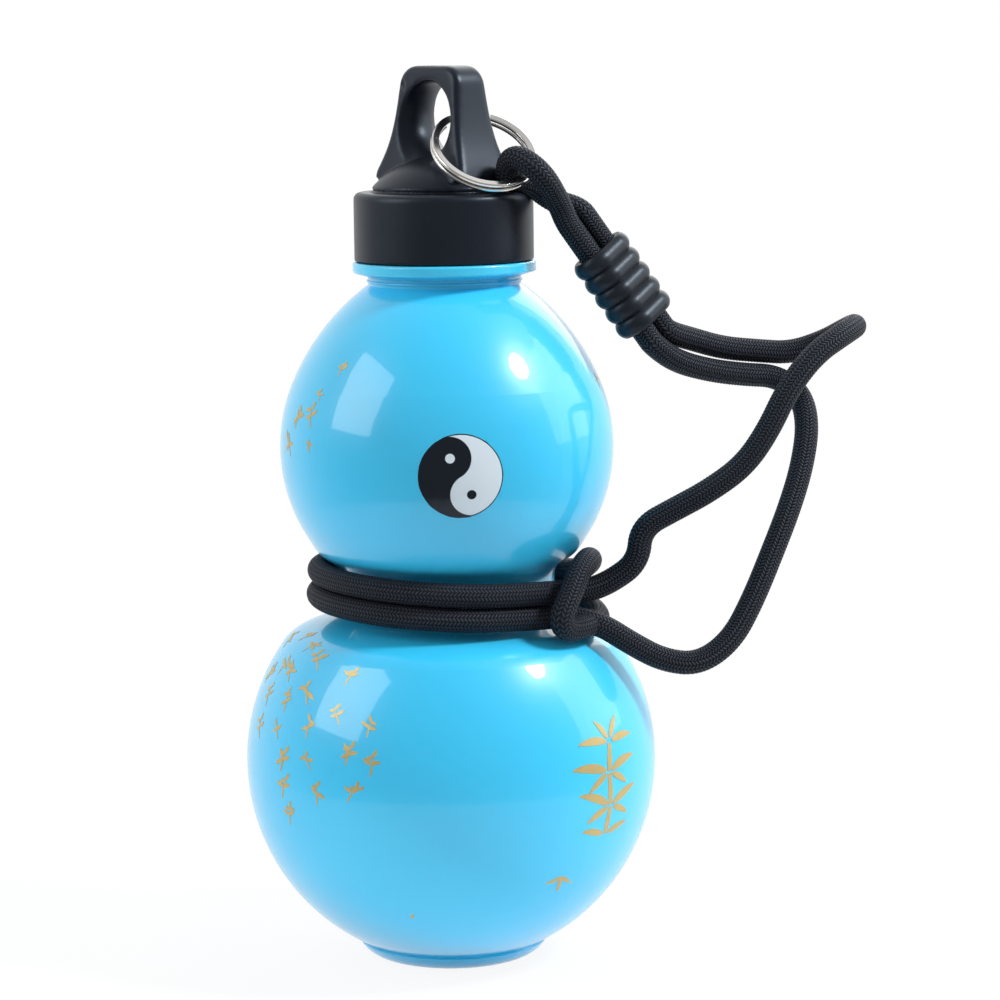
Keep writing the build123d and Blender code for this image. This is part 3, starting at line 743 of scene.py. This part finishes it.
def make_soft_cap():
    """Copy of the cap, remade in small even cells and smoothed over the dome and the handle."""
    node = nodes["cap_shell"]
    cap = node.copy()
    cap.data = node.data.copy()
    cap.name = "cap_moulding"
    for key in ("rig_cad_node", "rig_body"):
        del cap[key]
    cap.parent = None
    scene.collection.objects.link(cap)
    pick_out(cap)
    bpy.ops.object.mode_set(mode="EDIT")
    bpy.ops.mesh.select_all(action="SELECT")
    bpy.ops.mesh.remove_doubles(threshold=CAP_MERGE)
    bpy.ops.object.mode_set(mode="OBJECT")
    cells = cap.modifiers.new("cells", "REMESH")
    cells.mode = "VOXEL"
    cells.voxel_size = CAP_CELL
    apply_all(cap)
    soft = cap.vertex_groups.new(name="soft")
    for vertex in cap.data.vertices:
        share = (vertex.co.z - SOFT_LOW) / (SOFT_HIGH - SOFT_LOW)
        soft.add([vertex.index], min(max(share, SOFT_LEAST), 1.0), "REPLACE")
    smooth = cap.modifiers.new("smooth", "SMOOTH")
    smooth.factor = SOFT_FACTOR
    smooth.iterations = SOFT_TIMES
    smooth.vertex_group = "soft"
    apply_all(cap)
    cap.vertex_groups.clear()
    cap.data.polygons.foreach_set("use_smooth", [True] * len(cap.data.polygons))
    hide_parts("cap_shell")
    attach(cap, "cap")


make_soft_cap()

# Printed marks, each laid on the bottle as a thin film
FILM_LIFT = 0.00002
FILM_THICKNESS = 0.00004
FILM_EDGE = 35.0             # degrees, over which an edge of the film stays sharp


def lay_film(piece, material, lifts=()):
    """Lay a flat piece on the bottle, lift its points where asked, and give it the film's thickness."""
    wrap = piece.modifiers.new("wrap", "SHRINKWRAP")
    wrap.target = nodes["bottle_shell"]
    wrap.wrap_method = "NEAREST_SURFACEPOINT"
    wrap.wrap_mode = "ABOVE_SURFACE"
    wrap.offset = FILM_LIFT
    apply_all(piece)
    for vertex, (outward, lift) in zip(piece.data.vertices, lifts):
        vertex.co += outward * lift
    film = piece.modifiers.new("film", "SOLIDIFY")
    film.thickness = FILM_THICKNESS
    film.offset = 1
    apply_all(piece)
    dress(piece, material)
    bpy.ops.object.shade_smooth_by_angle(angle=math.radians(FILM_EDGE))
    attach(piece, "bottle")


EMBLEM_FLAT_RADIUS = 0.01235
EMBLEM_SIDES = 120
EMBLEM_RINGS = 14
EMBLEM_CLEAR = 0.0002        # the flat emblem starts this far off the bulb


def make_emblem():
    """Round film on the upper bulb."""
    radius = EMBLEM_FLAT_RADIUS
    bpy.ops.mesh.primitive_circle_add(vertices=EMBLEM_SIDES, radius=radius, fill_type="NGON")
    emblem = bpy.context.object
    emblem.name = "emblem"
    bpy.ops.object.mode_set(mode="EDIT")
    bpy.ops.mesh.select_mode(type="FACE")
    bpy.ops.mesh.select_all(action="SELECT")
    for _ in range(EMBLEM_RINGS - 1):
        bpy.ops.mesh.inset(thickness=radius / EMBLEM_RINGS)
    bpy.ops.object.mode_set(mode="OBJECT")
    outward, upward, rightward = frame_at(EMBLEM_CENTRE, UPPER_CENTRE)
    axes = Matrix((rightward, upward, outward)).transposed().to_4x4()
    place = Matrix.Translation(EMBLEM_CENTRE + outward * EMBLEM_CLEAR) @ axes
    emblem.data.transform(place @ emblem.matrix_world)
    emblem.matrix_world = Matrix.Identity(4)
    lay_film(emblem, emblem_print())


make_emblem()

# Gold ornament: brushed leaves and a bamboo stalk, in millimetres across and up from each anchor
UPPER_BULB = (UPPER_CENTRE, 0.0486)
LOWER_BULB = (Vector((0, 0, 0.0585)), 0.0602)
STROKE_STEPS = 10
STROKE_START, STROKE_SPAN = 0.06, 0.91   # share of a half wave that a stroke's width follows
STROKE_EARLY, STROKE_FULL = 0.8, 0.8     # powers that make it swell early and stay full
LAYER_STEP = 0.000004        # each stroke lies this much above the one before
draw = random.Random(7)

# length and width of a sprig's stem and leaves, as shares of its size
STEM_SHARES = (0.80, 0.10)
MIDDLE_LEAF_SHARES = (0.50, 0.20)
TOP_LEAF_SHARES = (0.42, 0.18)
STEM_BLUNT = 0.5
STEM_LEANS = (60, 120)       # degrees between which each is drawn at random
STEM_CURLS = (-30, 30)
LEAF_CURLS = (-25, 25)
MIDDLE_ACROSS, MIDDLE_UP = 0.5, 0.2      # place of the middle leaves, as shares of the tip's
MIDDLE_SPREADS = [(20, 160), (35, 205), (150, 340), (10, 110, 215)]
TOP_SPREADS = [(60, 190), (-20, 120), (10, 80, 170)]
SIZE_SPREAD = (0.8, 1.15)


class Brush:
    """Gathers tapered strokes laid out on the bulbs as one flat mesh."""

    def __init__(self):
        self.vertices = []
        self.faces = []
        self.lifts = []
        self.layer = 0

    def anchor(self, bulb, azimuth, height):
        """Start drawing round a place on a bulb, given by its azimuth and its height in millimetres."""
        self.centre, self.radius = bulb
        rise = height * MM - self.centre.z
        level = math.sqrt(self.radius ** 2 - rise ** 2)
        angle = math.radians(azimuth)
        place = self.centre + Vector((level * math.cos(angle), level * math.sin(angle), rise))
        self.outward, self.upward, self.rightward = frame_at(place, self.centre)
        self.layer = 0

    def on_bulb(self, across, up):
        """Point of the bulb a little way across and up from the anchor."""
        aside = (self.rightward * across + self.upward * up) * (MM / self.radius)
        return self.centre + (self.outward + aside).normalized() * self.radius

    def stroke(self, start, angle, length, width, curl=0.0, blunt=0.0):
        """Tapered stroke from a point: it swells to its width and bends by its curl, in degrees."""
        x, y = start
        base = len(self.vertices)
        self.layer += 1
        for step in range(STROKE_STEPS + 1):
            share = step / STROKE_STEPS
            heading = math.radians(angle + curl * share)
            wave = math.sin(math.pi * (STROKE_START + STROKE_SPAN * share ** STROKE_EARLY))
            half = width / 2 * max(wave ** STROKE_FULL, blunt)
            aside_x, aside_y = -math.sin(heading) * half, math.cos(heading) * half
            for side in (1, 0, -1):
                self.vertices.append(self.on_bulb(x + aside_x * side, y + aside_y * side))
                self.lifts.append((self.outward, self.layer * LAYER_STEP))
            x += math.cos(heading) * length / STROKE_STEPS
            y += math.sin(heading) * length / STROKE_STEPS
        for step in range(STROKE_STEPS):
            for column in (0, 1):
                here = base + step * 3 + column
                self.faces.append((here, here + 1, here + 4, here + 3))
        return x, y

    def leaves(self, start, angles, length, width):
        """Leaves that spread from one point."""
        for angle in angles:
            reach = length * draw.uniform(*SIZE_SPREAD)
            self.stroke(start, angle, reach, width, draw.uniform(*LEAF_CURLS))

    def sprig(self, size):
        """Small sprig: a short stem with a few leaves, as wide as its size."""
        lean = draw.uniform(*STEM_LEANS)
        stem, middle_leaf, top_leaf = (
            [size * share for share in shares]
            for shares in (STEM_SHARES, MIDDLE_LEAF_SHARES, TOP_LEAF_SHARES)
        )
        tip = self.stroke((0, -size / 2), lean, *stem, draw.uniform(*STEM_CURLS), STEM_BLUNT)
        middle = (tip[0] * MIDDLE_ACROSS, tip[1] * MIDDLE_UP)
        self.leaves(middle, draw.choice(MIDDLE_SPREADS), *middle_leaf)
        self.leaves(tip, draw.choice(TOP_SPREADS), *top_leaf)


# azimuth, height and size of the sprigs on the upper bulb
UPPER_SPRIGS = [
    (-88, 176.5, 4.0), (-94, 169.0, 3.6), (-96, 163.0, 6.4), (-95, 154.5, 3.4),
    (-107, 162.0, 6.0), (-109, 154.0, 6.4), (36, 170.0, 4.0),
]
# columns of sprigs on the lower bulb: azimuth and height of their first and last, and how many
LOWER_COLUMNS = [
    (-123, 96.0, -122, 86.0, 2), (-114, 99.0, -112, 72.0, 4), (-104, 97.0, -93, 50.0, 7),
    (-91, 94.0, -81, 58.0, 5), (-77, 91.0, -71, 60.0, 4), (-66, 78.0, -64, 68.0, 2),
]
SPRIG_SIZE = 6.2
COLUMN_DRIFT = 1.0           # degrees by which a sprig may stand beside its column
# lone marks: azimuth, height, rise of their middle, and their leaves' directions, length and width
LONE_MARKS = [
    (-7.4, 30.9, 2.2, (205, 265, 320), 5.0, 1.3),
    (-55.9, 21.9, 0, (90,), 1.6, 1.2),
]


def make_ornament():
    """All of the gold, as one film."""
    brush = Brush()
    for azimuth, height, size in UPPER_SPRIGS:
        brush.anchor(UPPER_BULB, azimuth, height)
        brush.sprig(size)
    for start, top, end, foot, count in LOWER_COLUMNS:
        for i in range(count):
            share = i / (count - 1)
            azimuth = start + (end - start) * share + draw.uniform(-COLUMN_DRIFT, COLUMN_DRIFT)
            brush.anchor(LOWER_BULB, azimuth, top + (foot - top) * share)
            brush.sprig(SPRIG_SIZE * draw.uniform(*SIZE_SPREAD))
    for azimuth, height, rise, angles, length, width in LONE_MARKS:
        brush.anchor(LOWER_BULB, azimuth, height)
        brush.leaves((0, rise), angles, length, width)
    make_bamboo(brush)
    mesh = bpy.data.meshes.new("gold_ornament")
    mesh.from_pydata(brush.vertices, [], brush.faces)
    ornament = bpy.data.objects.new("gold_ornament", mesh)
    scene.collection.objects.link(ornament)
    lay_film(ornament, gold_paint(), brush.lifts)


# Bamboo: its azimuth and height, and the joints of its stalk, across and up
BAMBOO_PLACE = (5.5, 60.0)
BAMBOO_JOINTS = [(0.5, -17.0), (1.5, -8.0), (0.8, 2.0), (2.2, 10.5)]
STALK_WIDTH = 2.1
STALK_BLUNT = 0.8
JOINT_GAP = 0.7
LEAF_START = 1.3             # the leaves start this far from the middle of a joint
# joint of the stalk, direction, length, width and curl of each leaf
BAMBOO_LEAVES = [
    (0, 158, 9.0, 2.2, 22), (0, 20, 9.5, 2.2, -20),
    (1, 150, 12.5, 2.6, 24), (1, 196, 9.0, 2.2, 20), (1, 28, 12.0, 2.6, -22), (1, -16, 8.5, 2.0, -18),
    (2, 160, 13.5, 2.8, 26), (2, 204, 8.5, 2.1, 16), (2, 24, 12.0, 2.6, -24), (2, -22, 8.0, 2.0, -14),
    (3, 166, 11.5, 2.5, 24), (3, 118, 7.5, 1.9, 20), (3, 62, 8.0, 2.0, -18), (3, 14, 10.5, 2.4, -22),
]


def make_bamboo(brush):
    """Large bamboo stalk in three lengths, with bold leaves."""
    brush.anchor(LOWER_BULB, *BAMBOO_PLACE)
    for here, there in zip(BAMBOO_JOINTS, BAMBOO_JOINTS[1:]):
        rise = math.degrees(math.atan2(there[1] - here[1], there[0] - here[0]))
        start = (here[0], here[1] + JOINT_GAP / 2)
        brush.stroke(start, rise, math.dist(here, there) - JOINT_GAP, STALK_WIDTH, 0, STALK_BLUNT)
    for joint, angle, length, width, curl in BAMBOO_LEAVES:
        x, y = BAMBOO_JOINTS[joint]
        heading = math.radians(angle)
        start = (x + LEAF_START * math.cos(heading), y + LEAF_START * math.sin(heading))
        brush.stroke(start, angle, length, width, curl)


make_ornament()

# Table, backdrop and light
TABLE_WHITE = (0.86, 0.86, 0.86)
TABLE_RADIUS = 0.28
TABLE_SIDES = 96
TABLE_GLOW = 0.90            # share of the table's look that is plain white
PURE_WHITE = (1, 1, 1, 1)
SURROUND_FRONT = 0.34        # brightness in front of the bottle and behind it
SURROUND_BACK = 0.92
SURROUND_EDGE = 0.05         # where it changes, and how softly, along the way to the backdrop
SURROUND_SOFT = 0.55
SURROUND_TURN = CAMERA_TURN + 90   # azimuth of the backdrop, behind the bottle


def around(azimuth, elevation, distance, height=0.0):
    """Place seen from the bottle's axis in a direction, in degrees."""
    azimuth, elevation = math.radians(azimuth), math.radians(elevation)
    level = math.cos(elevation)
    direction = Vector((level * math.cos(azimuth), level * math.sin(azimuth), math.sin(elevation)))
    return direction * distance + Vector((0, 0, height))


def make_table():
    """Pale table that shows white to the camera and in gloss and glass, and keeps the shadow."""
    bpy.ops.mesh.primitive_circle_add(vertices=TABLE_SIDES, radius=TABLE_RADIUS, fill_type="NGON")
    table = bpy.context.object
    table.name = "table"
    finish = Finish("table", Roughness=0.9)
    finish.surface(Base_Color=finish.colour(TABLE_WHITE))
    rays = finish.node("ShaderNodeLightPath").outputs
    shown = finish.maths("MAXIMUM", rays["Is Glossy Ray"], rays["Is Transmission Ray"])
    seen = finish.maths("MAXIMUM", rays["Is Camera Ray"], shown)
    glow = finish.node("ShaderNodeEmission", None, {"Color": PURE_WHITE, "Strength": 1.0})
    both = finish.node("ShaderNodeMixShader", None, {
        0: seen * TABLE_GLOW, 1: finish.shader.outputs[0], 2: glow.outputs[0],
    })
    finish.feed(finish.tree.nodes["Material Output"].inputs["Surface"], both.outputs[0])
    dress(table, finish.material)


class Surround(Finish):
    """The world's own node tree, with the same sums."""

    def __init__(self, world):
        self.tree = world.node_tree
        self.shader = self.tree.nodes["Background"]


def make_surround():
    """Pale surroundings, brighter behind the bottle, where gloss shows them white too."""
    world = bpy.data.worlds.new("studio")
    scene.world = world
    world.use_nodes = True
    surround = Surround(world)
    direction = Value(surround, surround.node("ShaderNodeTexCoord").outputs["Generated"])
    behind = around(SURROUND_TURN, 0, 1)
    facing = surround.vector("DOT_PRODUCT", direction, tuple(behind))
    share = surround.step(facing, SURROUND_EDGE, SURROUND_SOFT)
    level = share * (SURROUND_BACK - SURROUND_FRONT) + SURROUND_FRONT
    rays = surround.node("ShaderNodeLightPath").outputs
    shown = surround.maths("MAXIMUM", rays["Is Glossy Ray"], rays["Is Transmission Ray"])
    seen = surround.maths("MAXIMUM", rays["Is Camera Ray"], shown * share)
    surround.surface(Color=PURE_WHITE, Strength=surround.maths("MAXIMUM", level, seen))


# name, azimuth, elevation and distance of each lamp, then its size, power and shape
LAMPS = [
    ("key", 31, 44, 1.0, (0.20, 0.20), 8.5, "ELLIPSE"),
    ("window", -112, 29, 1.0, (0.60, 0.66), 4.5, "RECTANGLE"),
    ("side", 54, 22, 1.2, (0.80, 0.90), 4.0, "RECTANGLE"),
    ("back", 120, 30, 1.3, (0.90, 0.90), 5.0, "RECTANGLE"),
]
LAMP_AIM = 0.14              # height of the place that the lamps face


def softbox(name, azimuth, elevation, distance, size, power, shape):
    """Soft lamp that faces the bottle."""
    lamp = bpy.data.objects.new(name, bpy.data.lights.new(name, "AREA"))
    lamp.data.shape = shape
    lamp.data.size, lamp.data.size_y = size
    lamp.data.energy = power
    place = around(azimuth, elevation, distance, LAMP_AIM)
    aim = (UP * LAMP_AIM - place).to_track_quat("-Z", "Y").to_matrix().to_4x4()
    lamp.matrix_world = Matrix.Translation(place) @ aim
    scene.collection.objects.link(lamp)


make_table()
make_surround()
for lamp in LAMPS:
    softbox(*lamp)
